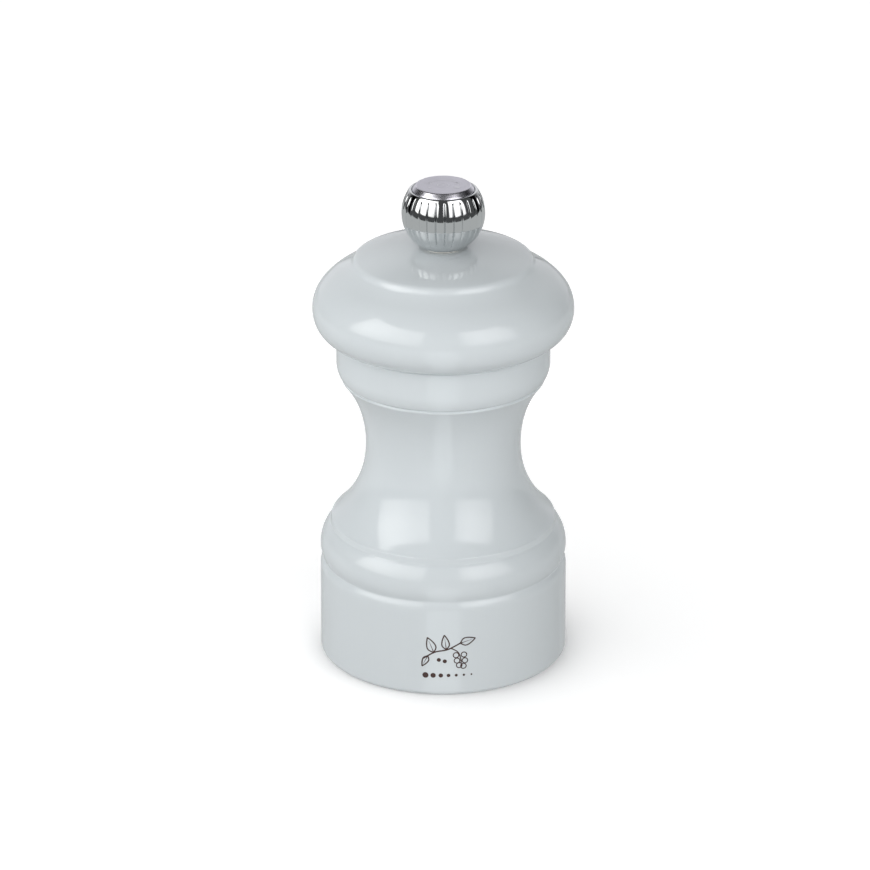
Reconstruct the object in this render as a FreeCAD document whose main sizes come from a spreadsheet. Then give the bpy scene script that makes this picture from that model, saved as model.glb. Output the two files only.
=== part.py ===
import FreeCAD, Part
import math
import os

import Sketcher

# Small table pepper mill, 100 mm tall. Turned wooden body and head, chromed
# adjusting knob, steel grinding set on a square shaft. Millimetres, +Z up,
# origin at the bottom centre, the decorated front faces -Y.

os.makedirs("parts", exist_ok=True)
doc = FreeCAD.newDocument("PepperMill")

# ---------------------------------------------------------------------------
# Driving dimensions
# ---------------------------------------------------------------------------
DIMS = [
    # outer profile of the body, from the foot up (r = radius, z = height)
    ("foot_radius", 24.15), ("foot_round", 1.0), ("base_radius", 25.15),
    ("base_top_radius", 25.05), ("base_top_height", 18.35), ("base_edge_round", 2.8),
    ("vee_edge_radius", 24.52), ("vee_edge_height", 20.0),
    ("vee_radius", 24.4), ("vee_height", 20.28), ("vee_top_height", 20.5), ("bead_low_round", 4.9),
    ("bead_low_radius", 25.0), ("bead_low_height", 22.9), ("bead_round", 6.9),
    ("bead_top_radius", 23.54), ("bead_top_height", 27.2), ("bead_top_round", 2.4),
    ("fillet_radius", 22.95), ("fillet_height", 27.82),
    ("lip_radius", 22.78), ("lip_height", 28.85), ("lip_round", 0.4),
    ("lip_top_radius", 22.48), ("lip_top_height", 29.22),
    ("cove_low_radius", 22.1), ("cove_low_height", 29.62), ("cove_low_round", 20.2),
    ("waist_low_radius", 15.85), ("waist_low_height", 41.89), ("waist_round", 25.25),
    ("waist_top_radius", 16.56), ("waist_top_height", 51.70), ("cove_top_round", 21.3),
    ("cove_top_radius", 20.31), ("cove_top_height", 59.15), ("ridge_round", 0.4),
    ("ridge_radius", 20.46), ("ridge_height", 59.6),
    ("score_radius", 20.2), ("score_height", 59.85), ("neck_low_radius", 20.8), ("neck_low_height", 60.15),
    ("neck_low_round", 5.6), ("neck_radius", 21.46), ("neck_bead_height", 62.9),
    ("neck_top_height", 68.2), ("neck_top_round", 0.4),
    # bores of the body
    ("recess_radius", 20.5), ("recess_depth", 3.2), ("mech_bore_radius", 15.0),
    ("mech_bore_top", 26.0), ("chamber_radius", 11.0), ("counterbore_floor", 56.8),
    ("pilot_radius", 1.45), ("pilot_circle_radius", 17.6), ("pilot_depth", 8.5),
    # head
    ("head_under_height", 68.5), ("head_curl_radius", 21.75), ("head_curl_round", 5.21),
    ("head_low_radius", 25.83), ("head_low_height", 72.07), ("head_belly_round", 6.98),
    ("head_high_radius", 24.51), ("head_high_height", 78.67), ("head_shoulder_round", 13.66),
    ("head_dip_radius", 21.46), ("head_dip_height", 81.36), ("head_dip_round", 25.9),
    ("step_low_radius", 18.75), ("step_low_height", 83.25), ("step_cove_round", 2.2),
    ("step_mid_radius", 17.95), ("step_mid_height", 84.25), ("step_edge_round", 1.5),
    ("dome_edge_radius", 17.1), ("dome_edge_height", 84.92), ("dome_round", 44.0),
    ("dome_flat_radius", 5.3), ("dome_height", 87.05),
    ("spigot_radius", 13.65), ("spigot_bottom", 59.5), ("spigot_chamfer", 0.5),
    ("head_bore_radius", 4.5), ("head_bore_top", 80.0), ("head_stud_bore_radius", 3.0),
    ("plate_pilot_radius", 1.0), ("plate_pilot_depth", 7.0), ("plate_screw_circle", 9.6),
    # neck ring
    ("neck_ring_inner", 13.8), ("neck_ring_outer", 14.85), ("neck_ring_bottom", 60.0),
    ("neck_ring_top", 68.0), ("neck_ring_chamfer", 0.3),
    # drive plate
    ("plate_radius", 14.4), ("plate_thickness", 1.2), ("plate_square", 5.7), ("plate_notch", 1.3),
    # drive shaft
    ("shaft_square", 5.5), ("shaft_corner", 0.5), ("shaft_shoulder", 7.6), ("shaft_square_top", 77.5),
    ("stud_radius", 2.5), ("stud_top", 94.0), ("stud_pitch", 0.8), ("stud_thread_depth", 0.42),
    ("tail_radius", 2.0), ("tail_bottom", 2.9),
    # grinding ring and rotor
    ("ring_outer", 14.9), ("ring_bottom", 3.2), ("ring_top", 16.0), ("mesh_height", 9.0),
    ("ring_low_radius", 10.48), ("ring_mid_radius", 8.6), ("ring_high_radius", 12.1),
    ("ring_tooth_depth", 0.75), ("ring_tooth_half", 0.62), ("ring_flute_depth", 1.15), ("ring_flute_half", 1.5),
    ("lug_inner", 12.0), ("lug_outer", 14.4), ("lug_half", 1.5), ("lug_gap", 0.15),
    ("rotor_bottom", 2.6), ("rotor_clear", 0.7), ("rotor_top", 17.5), ("rotor_top_radius", 5.0),
    ("rotor_neck_radius", 5.6), ("rotor_neck_height", 14.6),
    ("rotor_tooth_depth", 0.75), ("rotor_tooth_half", 0.55), ("rotor_flute_half", 1.45),
    ("rotor_recess_radius", 5.0), ("rotor_recess_depth", 3.0), ("rotor_stud_hole", 2.08),
    ("rotor_square", 5.54), ("tooth_count", 30), ("ring_flute_count", 10), ("rotor_flute_count", 7),
    # hardware on the shaft
    ("lock_washer_inner", 2.1), ("lock_washer_outer", 3.9), ("lock_washer_thick", 0.6),
    ("nut_flats", 7.0), ("nut_thick", 2.0), ("nut_bore", 2.03),
    ("thrust_inner", 4.0), ("thrust_outer", 5.5), ("thrust_thick", 0.8),
    # spring and bridge
    ("wire_radius", 0.38), ("spring_mean_radius", 4.58), ("spring_turns", 4.5),
    ("bridge_width", 7.0), ("bridge_thick", 1.2), ("bridge_half_length", 14.4),
    ("bridge_bend", 1.7), ("bridge_foot_inner", 12.2), ("bridge_hole_radius", 4.05), ("bridge_boss_radius", 5.7),
    # base ring and its screws
    ("base_ring_outer", 20.2), ("base_ring_inner", 11.6), ("base_ring_bottom", 2.0),
    ("base_ring_thick", 1.2), ("base_ring_hole", 1.65), ("screw_count", 3),
    ("screw_shank", 1.4), ("screw_length", 8.0), ("screw_tip", 1.6), ("screw_head_radius", 2.7),
    ("screw_head_height", 1.05), ("screw_head_round", 1.0), ("cross_half_width", 0.28), ("cross_half_length", 1.45),
    ("cross_depth", 0.65), ("screw_seat_gap", 0.02),
    ("small_shank", 0.95), ("small_length", 6.5), ("small_tip", 1.2), ("small_head_radius", 1.9),
    ("small_head_height", 0.85), ("small_head_round", 0.7), ("small_cross_half_width", 0.22),
    ("small_cross_half_length", 1.05), ("small_cross_depth", 0.5), ("plate_hole", 1.15),
    # knob
    ("washer_inner", 3.1), ("washer_outer", 4.0), ("washer_thick", 0.4),
    ("knob_bottom", 87.5), ("knob_foot_radius", 4.75), ("knob_foot_round", 0.35),
    ("knob_radius", 8.3), ("knob_belly_height", 94.1), ("knob_low_round", 7.86),
    ("knob_side_round", 15.7), ("knob_side_radius", 8.03), ("knob_side_height", 97.0),
    ("knob_top_round", 3.24), ("knob_lip_radius", 6.82), ("knob_lip_height", 98.98),
    ("knob_lip_inner", 6.3), ("knob_lip_top", 99.08), ("knob_lip_round", 0.34),
    ("medal_seat", 98.2), ("medal_radius", 6.15), ("medal_edge_height", 99.08),
    ("medal_flat_radius", 5.4), ("medal_top", 100.0), ("medal_pin_radius", 2.0), ("medal_pin_depth", 1.0),
    ("groove_half_width", 0.22), ("groove_depth", 0.24), ("groove_count", 28),
    ("insert_radius", 3.6), ("insert_bottom", 87.9), ("insert_top", 96.0), ("insert_bore", 2.6),
    ("insert_chamfer", 0.3), ("knob_bore_top", 96.4),
]

sheet = doc.addObject("Spreadsheet::Sheet", "Dims")
sheet.Label = "Dims"
for row, (name, number) in enumerate(DIMS, start=1):
    sheet.set("A%d" % row, name)
    sheet.set("B%d" % row, repr(float(number)))
    sheet.setAlias("B%d" % row, name)
doc.recompute()


class Q:
    """A size: its number, and the sheet expression that gives it."""

    def __init__(self, number, text):
        self.n = float(number)
        self.t = text

    @staticmethod
    def of(x):
        return x if isinstance(x, Q) else Q(x, repr(float(x)))

    def __add__(self, other):
        other = Q.of(other)
        return Q(self.n + other.n, "(%s + %s)" % (self.t, other.t))

    __radd__ = __add__

    def __sub__(self, other):
        other = Q.of(other)
        return Q(self.n - other.n, "(%s - %s)" % (self.t, other.t))

    def __rsub__(self, other):
        return Q.of(other) - self

    def __mul__(self, other):
        other = Q.of(other)
        return Q(self.n * other.n, "(%s * %s)" % (self.t, other.t))

    __rmul__ = __mul__

    def __truediv__(self, other):
        other = Q.of(other)
        return Q(self.n / other.n, "(%s / %s)" % (self.t, other.t))

    def __neg__(self):
        return Q(-self.n, "(-1 * %s)" % self.t)


class Sizes:
    pass


d = Sizes()
for name, number in DIMS:
    setattr(d, name, Q(number, "Dims." + name))

NODES = []


def new_body(label):
    body = doc.addObject("PartDesign::Body", label)
    body.Label = label
    NODES.append(body)
    return body


def origin(body, role):
    return [f for f in body.Origin.OriginFeatures if f.Role == role][0]


def new_sketch(body, name, role, dx=0, dz=0):
    """A sketch on one of the body's own origin planes, moved by dx along its
    own X or dz along its normal."""
    sk = body.newObject("Sketcher::SketchObject", body.Label + "_" + name)
    sk.AttachmentSupport = [(origin(body, role), "")]
    sk.MapMode = "FlatFace"
    dx, dz = Q.of(dx), Q.of(dz)
    sk.AttachmentOffset = FreeCAD.Placement(FreeCAD.Vector(dx.n, 0, dz.n), FreeCAD.Rotation())
    if dx.n:
        sk.setExpression("AttachmentOffset.Base.x", dx.t)
    if dz.n:
        sk.setExpression("AttachmentOffset.Base.z", dz.t)
    return sk


def bind(sk, constraints):
    """Adds (constraint, size) pairs and binds each sized one to the sheet."""
    first = sk.ConstraintCount
    sk.addConstraint([c for c, _ in constraints])
    for i, (_, size) in enumerate(constraints):
        if size is not None:
            tag = "size%d" % (first + i)
            sk.renameConstraint(first + i, tag)
            sk.setExpression("Constraints." + tag, size.t)


def place(geo, pos, x, y):
    """Distances from the sketch origin that fix one point."""
    out = []
    for kind, v in (("DistanceX", x), ("DistanceY", y)):
        v = Q.of(v)
        if v.n < 0:
            out.append((Sketcher.Constraint(kind, geo, pos, -1, 1, -v.n), -v))
        else:
            out.append((Sketcher.Constraint(kind, -1, 1, geo, pos, v.n), v))
    return out


def outline(sk, points):
    """A closed outline. Each point is (x, y) with a straight edge to the next,
    or (x, y, radius, side) with an arc to the next: side +1 turns left."""
    base = sk.GeometryCount
    count = len(points)
    geometry, ends = [], []
    for i, p in enumerate(points):
        q = points[(i + 1) % count]
        x0, y0, x1, y1 = Q.of(p[0]).n, Q.of(p[1]).n, Q.of(q[0]).n, Q.of(q[1]).n
        a, b = FreeCAD.Vector(x0, y0, 0), FreeCAD.Vector(x1, y1, 0)
        if len(p) == 2:
            geometry.append(Part.LineSegment(a, b))
            ends.append((1, 2))
            continue
        radius, side = Q.of(p[2]).n, p[3]
        chord = b - a
        half = chord.Length / 2
        rise = math.sqrt(max(radius * radius - half * half, 0.0))
        left = FreeCAD.Vector(-chord.y, chord.x, 0).normalize()
        centre = (a + b) * 0.5 + left * (rise * side)
        start = math.atan2(a.y - centre.y, a.x - centre.x)
        stop = math.atan2(b.y - centre.y, b.x - centre.x)
        if side < 0:
            start, stop = stop, start
        while stop < start:
            stop += 2 * math.pi
        circle = Part.Circle(centre, FreeCAD.Vector(0, 0, 1), radius)
        geometry.append(Part.ArcOfCircle(circle, start, stop))
        ends.append((1, 2) if side > 0 else (2, 1))
    sk.addGeometry(geometry, False)
    rules = []
    for i, p in enumerate(points):
        j = (i + 1) % count
        rules.append((Sketcher.Constraint("Coincident", base + i, ends[i][1], base + j, ends[j][0]), None))
    for i, p in enumerate(points):
        rules += place(base + i, ends[i][0], p[0], p[1])
        if len(p) == 4:
            rules.append((Sketcher.Constraint("Radius", base + i, Q.of(p[2]).n), Q.of(p[2])))
    bind(sk, rules)


def ring(sk, x, y, radius):
    """A circle."""
    x, y, radius = Q.of(x), Q.of(y), Q.of(radius)
    geo = sk.addGeometry(Part.Circle(FreeCAD.Vector(x.n, y.n, 0), FreeCAD.Vector(0, 0, 1), radius.n), False)
    rules = [(Sketcher.Constraint("Radius", geo, radius.n), radius)]
    if x.n == 0 and y.n == 0:
        rules.append((Sketcher.Constraint("Coincident", geo, 3, -1, 1), None))
    else:
        rules += place(geo, 3, x, y)
    bind(sk, rules)


def rectangle(sk, x0, y0, x1, y1):
    outline(sk, [(x0, y0), (x1, y0), (x1, y1), (x0, y1)])


def volume(body):
    doc.recompute()
    return body.Shape.Volume


def turned(body, name, points, dx=0, cut=False):
    """A full turn of an outline about the Z axis, or about an upright axis at dx."""
    sk = new_sketch(body, name + "_profile", "XZ_Plane", dx=dx)
    outline(sk, points)
    before = volume(body) if cut else 0
    f = body.newObject("PartDesign::Groove" if cut else "PartDesign::Revolution", body.Label + "_" + name)
    f.Profile = sk
    f.ReferenceAxis = (sk, ["V_Axis"])
    f.Angle = 360
    after = volume(body)
    if cut and not after < before - 1e-4:
        raise RuntimeError("%s %s cut nothing" % (body.Label, name))
    return f


def pad(body, name, sk, length, both=False, down=False):
    f = body.newObject("PartDesign::Pad", body.Label + "_" + name)
    f.Profile = sk
    length = Q.of(length)
    f.Length = length.n
    f.setExpression("Length", length.t)
    if both:
        f.Midplane = True
    f.Reversed = down
    before = body.Shape.Volume if not body.Shape.isNull() else 0
    if not volume(body) > before:
        raise RuntimeError("%s %s added nothing" % (body.Label, name))
    return f


def pocket(body, name, sk, length, both=False, up=False, along=None):
    """Cuts down from the sketch, up, both ways, or along a slanted direction
    with the length measured square to the sketch."""
    before = volume(body)
    f = body.newObject("PartDesign::Pocket", body.Label + "_" + name)
    f.Profile = sk
    length = Q.of(length)
    f.Length = length.n
    f.setExpression("Length", length.t)
    if both:
        f.Midplane = True
    if along is not None:
        f.UseCustomVector = True
        f.Direction = along
        f.AlongSketchNormal = True
    f.Reversed = up
    if not volume(body) < before - 1e-4:
        raise RuntimeError("%s %s cut nothing" % (body.Label, name))
    return f


def polar(body, name, features, count):
    f = body.newObject("PartDesign::PolarPattern", body.Label + "_" + name)
    f.Originals = features
    f.Axis = (origin(body, "Z_Axis"), [""])
    f.Angle = 360
    f.Occurrences = int(count.n)
    f.setExpression("Occurrences", count.t)
    before = body.Shape.Volume
    body.Tip = f
    if abs(volume(body) - before) < 1e-4:
        raise RuntimeError("%s %s changed nothing" % (body.Label, name))
    return f


# ---------------------------------------------------------------------------
# Wooden body: foot, bead, cove, waist, neck bead, and its stepped bore
# ---------------------------------------------------------------------------
mill_body = new_body("mill_body")
turned(mill_body, "turning", [
    (d.recess_radius, 0),
    (d.foot_radius, 0, d.foot_round, +1),
    (d.base_radius, d.foot_round),
    (d.base_top_radius, d.base_top_height, d.base_edge_round, +1),
    (d.vee_edge_radius, d.vee_edge_height),
    (d.vee_radius, d.vee_height),
    (d.vee_radius, d.vee_top_height, d.bead_low_round, +1),
    (d.bead_low_radius, d.bead_low_height, d.bead_round, +1),
    (d.bead_top_radius, d.bead_top_height, d.bead_top_round, +1),
    (d.fillet_radius, d.fillet_height),
    (d.lip_radius, d.lip_height, d.lip_round, +1),
    (d.lip_top_radius, d.lip_top_height),
    (d.cove_low_radius, d.cove_low_height, d.cove_low_round, -1),
    (d.waist_low_radius, d.waist_low_height, d.waist_round, -1),
    (d.waist_top_radius, d.waist_top_height, d.cove_top_round, -1),
    (d.cove_top_radius, d.cove_top_height, d.ridge_round, +1),
    (d.ridge_radius, d.ridge_height),
    (d.score_radius, d.score_height),
    (d.neck_low_radius, d.neck_low_height, d.neck_low_round, +1),
    (d.neck_radius, d.neck_bead_height),
    (d.neck_radius, d.neck_top_height - d.neck_top_round, d.neck_top_round, +1),
    (d.neck_radius - d.neck_top_round, d.neck_top_height),
    (d.mech_bore_radius, d.neck_top_height),
    (d.mech_bore_radius, d.counterbore_floor),
    (d.chamber_radius, d.counterbore_floor),
    (d.chamber_radius, d.mech_bore_top),
    (d.mech_bore_radius, d.mech_bore_top),
    (d.mech_bore_radius, d.recess_depth),
    (d.recess_radius, d.recess_depth),
])
sk = new_sketch(mill_body, "pilot", "XY_Plane", dz=d.recess_depth)
ring(sk, d.pilot_circle_radius, 0, d.pilot_radius)
hole = pocket(mill_body, "pilot_hole", sk, d.pilot_depth, up=True)
polar(mill_body, "pilot_holes", [hole], d.screw_count)

# ---------------------------------------------------------------------------
# Wooden head: stepped dome, rounded rim, spigot, shaft bore
# ---------------------------------------------------------------------------
head = new_body("head")
turned(head, "turning", [
    (d.head_bore_radius, d.spigot_bottom),
    (d.spigot_radius - d.spigot_chamfer, d.spigot_bottom),
    (d.spigot_radius, d.spigot_bottom + d.spigot_chamfer),
    (d.spigot_radius, d.head_under_height),
    (d.head_curl_radius, d.head_under_height, d.head_curl_round, +1),
    (d.head_low_radius, d.head_low_height, d.head_belly_round, +1),
    (d.head_high_radius, d.head_high_height, d.head_shoulder_round, +1),
    (d.head_dip_radius, d.head_dip_height, d.head_dip_round, -1),
    (d.step_low_radius, d.step_low_height, d.step_cove_round, -1),
    (d.step_mid_radius, d.step_mid_height, d.step_edge_round, +1),
    (d.dome_edge_radius, d.dome_edge_height, d.dome_round, +1),
    (d.dome_flat_radius, d.dome_height),
    (d.head_stud_bore_radius, d.dome_height),
    (d.head_stud_bore_radius, d.head_bore_top),
    (d.head_bore_radius, d.head_bore_top),
])
sk = new_sketch(head, "pilots", "XY_Plane", dz=d.spigot_bottom)
ring(sk, d.plate_screw_circle, 0, d.plate_pilot_radius)
ring(sk, -d.plate_screw_circle, 0, d.plate_pilot_radius)
pocket(head, "pilot_holes", sk, d.plate_pilot_depth, up=True)

# ---------------------------------------------------------------------------
# Slip ring between the head's spigot and the body's neck
# ---------------------------------------------------------------------------
neck_ring = new_body("neck_ring")
turned(neck_ring, "sleeve", [
    (d.neck_ring_inner, d.neck_ring_bottom),
    (d.neck_ring_outer - d.neck_ring_chamfer, d.neck_ring_bottom),
    (d.neck_ring_outer, d.neck_ring_bottom + d.neck_ring_chamfer),
    (d.neck_ring_outer, d.neck_ring_top - d.neck_ring_chamfer),
    (d.neck_ring_outer - d.neck_ring_chamfer, d.neck_ring_top),
    (d.neck_ring_inner, d.neck_ring_top),
])

# ---------------------------------------------------------------------------
# Drive plate: round plate with the square hole that turns the shaft
# ---------------------------------------------------------------------------
drive_plate = new_body("drive_plate")
sk = new_sketch(drive_plate, "disc", "XY_Plane", dz=d.spigot_bottom)
ring(sk, 0, 0, d.plate_radius)
half = d.plate_square / 2
rectangle(sk, -half, -half, half, half)
ring(sk, d.plate_screw_circle, 0, d.plate_hole)
ring(sk, -d.plate_screw_circle, 0, d.plate_hole)
pad(drive_plate, "plate", sk, d.plate_thickness, down=True)
sk = new_sketch(drive_plate, "notch", "XY_Plane", dz=d.spigot_bottom)
ring(sk, 0, d.plate_radius, d.plate_notch)
ring(sk, 0, -d.plate_radius, d.plate_notch)
pocket(drive_plate, "rim_notches", sk, d.plate_thickness)


def screw(label, circle_radius, seat, shank, length, tip, head_radius, head_height, head_round,
          cross_width, cross_length, cross_depth, count):
    """Pan-head cross-recess wood screws standing point up in a circle, their
    heads below the seat: each screw is its own solid."""
    body = new_body(label)
    body.AllowCompound = True
    top = seat + length
    f = turned(body, "shank_and_head", [
        (0, seat - head_height),
        (head_radius - head_round, seat - head_height, head_round, +1),
        (head_radius, seat - head_height + head_round),
        (head_radius, seat),
        (shank, seat),
        (shank, top - tip),
        (0, top),
    ], dx=circle_radius)
    sk = new_sketch(body, "cross", "XY_Plane", dz=seat - head_height)
    c, w, k = circle_radius, cross_width, cross_length
    outline(sk, [
        (c - k, -w), (c - w, -w), (c - w, -k), (c + w, -k), (c + w, -w), (c + k, -w),
        (c + k, w), (c + w, w), (c + w, k), (c - w, k), (c - w, w), (c - k, w),
    ])
    g = pocket(body, "cross_recess", sk, cross_depth, up=True)
    if count.n > 1:
        polar(body, "set", [f, g], count)
    return body


two = Q(2, "2")
drive_plate_screws = screw(
    "drive_plate_screws", d.plate_screw_circle, d.spigot_bottom - d.plate_thickness - d.screw_seat_gap, d.small_shank,
    d.small_length, d.small_tip, d.small_head_radius, d.small_head_height, d.small_head_round,
    d.small_cross_half_width, d.small_cross_half_length, d.small_cross_depth, two)

# ---------------------------------------------------------------------------
# Drive shaft: square bar, threaded stud above, threaded tail below
# ---------------------------------------------------------------------------
drive_shaft = new_body("drive_shaft")
sk = new_sketch(drive_shaft, "square", "XY_Plane", dz=d.shaft_shoulder)
half, c = d.shaft_square / 2, d.shaft_corner
outline(sk, [
    (half - c, -half, c, +1), (half, -half + c), (half, half - c, c, +1), (half - c, half),
    (-half + c, half, c, +1), (-half, half - c), (-half, -half + c, c, +1), (-half + c, -half),
])
pad(drive_shaft, "bar", sk, d.shaft_square_top - d.shaft_shoulder)
turned(drive_shaft, "stud", [
    (0, d.shaft_square_top - 1.0),
    (d.stud_radius, d.shaft_square_top - 1.0),
    (d.stud_radius, d.stud_top - 0.5),
    (d.stud_radius - 0.5, d.stud_top),
    (0, d.stud_top),
])
turned(drive_shaft, "tail", [
    (0, d.tail_bottom),
    (d.tail_radius - 0.35, d.tail_bottom),
    (d.tail_radius, d.tail_bottom + 0.35),
    (d.tail_radius, d.shaft_shoulder + 1.0),
    (0, d.shaft_shoulder + 1.0),
])


def thread(body, name, radius, depth, pitch, low, high):
    """Cuts a V thread into a stud between two heights."""
    before = volume(body)
    sk = new_sketch(body, name + "_vee", "XZ_Plane")
    outline(sk, [
        (radius - depth, low),
        (radius + 0.1, low - pitch * 0.46),
        (radius + 0.1, low + pitch * 0.46),
    ])
    f = body.newObject("PartDesign::SubtractiveHelix", body.Label + "_" + name)
    f.Profile = sk
    f.ReferenceAxis = (sk, ["V_Axis"])
    f.Mode = 0
    f.Pitch = pitch.n
    f.setExpression("Pitch", pitch.t)
    height = high - low
    f.Height = height.n
    f.setExpression("Height", height.t)
    f.LeftHanded = False
    f.Reversed = False
    if not volume(body) < before - 1.0:
        raise RuntimeError("%s %s cut nothing" % (body.Label, name))
    return f


thread(drive_shaft, "stud_thread", d.stud_radius, d.stud_thread_depth, d.stud_pitch,
       d.shaft_square_top + 1.4, d.stud_top + 0.4)

# ---------------------------------------------------------------------------
# Grinding rotor: fine skewed teeth round its skirt, coarse flutes above
# ---------------------------------------------------------------------------
slope = (d.ring_low_radius - d.ring_mid_radius) / (d.mesh_height - d.ring_bottom)
rotor_low = d.ring_low_radius - d.rotor_clear + slope * (d.ring_bottom - d.rotor_bottom)
rotor_mid = d.ring_mid_radius - d.rotor_clear
recess_top = d.rotor_bottom + d.rotor_recess_depth
half = d.rotor_square / 2

rotor = new_body("grinding_rotor")
turned(rotor, "blank", [
    (d.rotor_recess_radius, d.rotor_bottom),
    (rotor_low, d.rotor_bottom),
    (rotor_mid, d.mesh_height),
    (d.rotor_neck_radius, d.rotor_neck_height),
    (d.rotor_top_radius, d.rotor_neck_height + 0.8),
    (d.rotor_top_radius, d.rotor_top),
    (d.rotor_stud_hole, d.rotor_top),
    (d.rotor_stud_hole, recess_top),
    (d.rotor_recess_radius, recess_top),
])
sk = new_sketch(rotor, "square", "XY_Plane", dz=d.rotor_top)
rectangle(sk, -half, -half, half, half)
pocket(rotor, "square_hole", sk, d.rotor_top - d.shaft_shoulder)
sk = new_sketch(rotor, "tooth", "XY_Plane", dz=d.rotor_bottom)
outline(sk, [
    (rotor_low - d.rotor_tooth_depth, 0),
    (rotor_low + 0.3, -d.rotor_tooth_half),
    (rotor_low + 0.3, d.rotor_tooth_half),
])
tooth = pocket(rotor, "tooth_gap", sk, d.mesh_height - d.rotor_bottom + 0.6, up=True,
               along=FreeCAD.Vector(slope.n, -0.38, -1))
polar(rotor, "teeth", [tooth], d.tooth_count)
sk = new_sketch(rotor, "flute", "XY_Plane", dz=d.rotor_neck_height)
outline(sk, [
    (d.rotor_neck_radius - 1.1, 0.9),
    (d.rotor_neck_radius + 2.0, 0.9 - d.rotor_flute_half * 1.4),
    (d.rotor_neck_radius + 2.0, 0.9 + d.rotor_flute_half * 1.4),
])
flute = pocket(rotor, "flute", sk, d.rotor_neck_height - d.mesh_height, along=FreeCAD.Vector(
    (rotor_mid.n - d.rotor_neck_radius.n) / (d.rotor_neck_height.n - d.mesh_height.n), -0.55, -1))
polar(rotor, "flutes", [flute], d.rotor_flute_count)

# ---------------------------------------------------------------------------
# Grinding ring: plain outside, toothed cone inside, two lugs that stop it turning
# ---------------------------------------------------------------------------
grinding_ring = new_body("grinding_ring")
turned(grinding_ring, "blank", [
    (d.ring_low_radius, d.ring_bottom),
    (d.ring_outer, d.ring_bottom),
    (d.ring_outer, d.ring_top - 0.3),
    (d.ring_outer - 0.3, d.ring_top),
    (d.ring_high_radius, d.ring_top),
    (d.ring_mid_radius, d.mesh_height),
])
sk = new_sketch(grinding_ring, "tooth", "XY_Plane", dz=d.ring_bottom)
outline(sk, [
    (d.ring_low_radius + d.ring_tooth_depth, 0),
    (d.ring_low_radius - 0.4, d.ring_tooth_half),
    (d.ring_low_radius - 0.4, -d.ring_tooth_half),
])
tooth = pocket(grinding_ring, "tooth_gap", sk, d.mesh_height - d.ring_bottom + 0.4, up=True,
               along=FreeCAD.Vector(slope.n, 0.3, -1))
polar(grinding_ring, "teeth", [tooth], d.tooth_count)
flare = (d.ring_high_radius - d.ring_mid_radius) / (d.ring_top - d.mesh_height)
sk = new_sketch(grinding_ring, "flute", "XY_Plane", dz=d.ring_top)
outline(sk, [
    (d.ring_high_radius + d.ring_flute_depth, 0),
    (d.ring_high_radius - 1.0, d.ring_flute_half * 1.3),
    (d.ring_high_radius - 1.0, -d.ring_flute_half * 1.3),
])
flute = pocket(grinding_ring, "flute", sk, d.ring_top - d.mesh_height - 0.5,
               along=FreeCAD.Vector(-flare.n, 0.5, -1))
polar(grinding_ring, "flutes", [flute], d.ring_flute_count)
sk = new_sketch(grinding_ring, "lug", "XY_Plane", dz=d.ring_bottom)
w = d.lug_half
rectangle(sk, -w, d.lug_inner, w, d.lug_outer)
rectangle(sk, -w, -d.lug_outer, w, -d.lug_inner)
pad(grinding_ring, "lugs", sk, d.base_ring_thick, down=True)

# ---------------------------------------------------------------------------
# Hardware under and above the rotor
# ---------------------------------------------------------------------------


def washer(label, inner, outer, low, thick):
    body = new_body(label)
    sk = new_sketch(body, "annulus", "XY_Plane", dz=low)
    ring(sk, 0, 0, outer)
    ring(sk, 0, 0, inner)
    pad(body, "disc", sk, thick)
    return body


washer("rotor_washer", d.lock_washer_inner, d.lock_washer_outer, recess_top - d.lock_washer_thick, d.lock_washer_thick)

nut = new_body("rotor_nut")
nut_top = recess_top - d.lock_washer_thick
sk = new_sketch(nut, "hexagon", "XY_Plane", dz=nut_top)
across = d.nut_flats / 2
corner = d.nut_flats / math.sqrt(3)
outline(sk, [
    (corner, 0), (corner / 2, across), (-corner / 2, across),
    (-corner, 0), (-corner / 2, -across), (corner / 2, -across),
])
ring(sk, 0, 0, d.nut_bore)
pad(nut, "blank", sk, d.nut_thick, down=True)
turned(nut, "corner_chamfer", [
    (across + 0.05, nut_top - d.nut_thick - 0.2),
    (corner + 0.6, nut_top - d.nut_thick - 0.2),
    (corner + 0.6, nut_top - d.nut_thick + 0.55),
    (across + 0.05, nut_top - d.nut_thick),
], cut=True)

washer("thrust_washer", d.thrust_inner, d.thrust_outer, d.rotor_top, d.thrust_thick)

# ---------------------------------------------------------------------------
# Bridge: one bent strip, feet on the grinding ring, top against the shoulder
# ---------------------------------------------------------------------------
bridge = new_body("bridge_bracket")
t, b, half = d.bridge_thick, d.bridge_bend, d.bridge_half_length
low, high = d.ring_top, d.mech_bore_top
sk = new_sketch(bridge, "strip", "XZ_Plane")
outline(sk, [
    (d.bridge_foot_inner, low), (half - b, low, b, +1), (half, low + b),
    (half, high - b, b, +1), (half - b, high), (-half + b, high, b, +1),
    (-half, high - b), (-half, low + b, b, +1), (-half + b, low),
    (-d.bridge_foot_inner, low), (-d.bridge_foot_inner, low + t), (-half + b, low + t, b - t, -1),
    (-half + t, low + b), (-half + t, high - b, b - t, -1), (-half + b, high - t),
    (half - b, high - t, b - t, -1), (half - t, high - b), (half - t, low + b, b - t, -1),
    (half - b, low + t), (d.bridge_foot_inner, low + t),
])
pad(bridge, "bend", sk, d.bridge_width, both=True)
sk = new_sketch(bridge, "boss", "XY_Plane", dz=high)
ring(sk, 0, 0, d.bridge_boss_radius)
pad(bridge, "boss", sk, t, down=True)
sk = new_sketch(bridge, "shaft_hole", "XY_Plane", dz=high)
ring(sk, 0, 0, d.bridge_hole_radius)
pocket(bridge, "shaft_guide", sk, t + 0.5)

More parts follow.
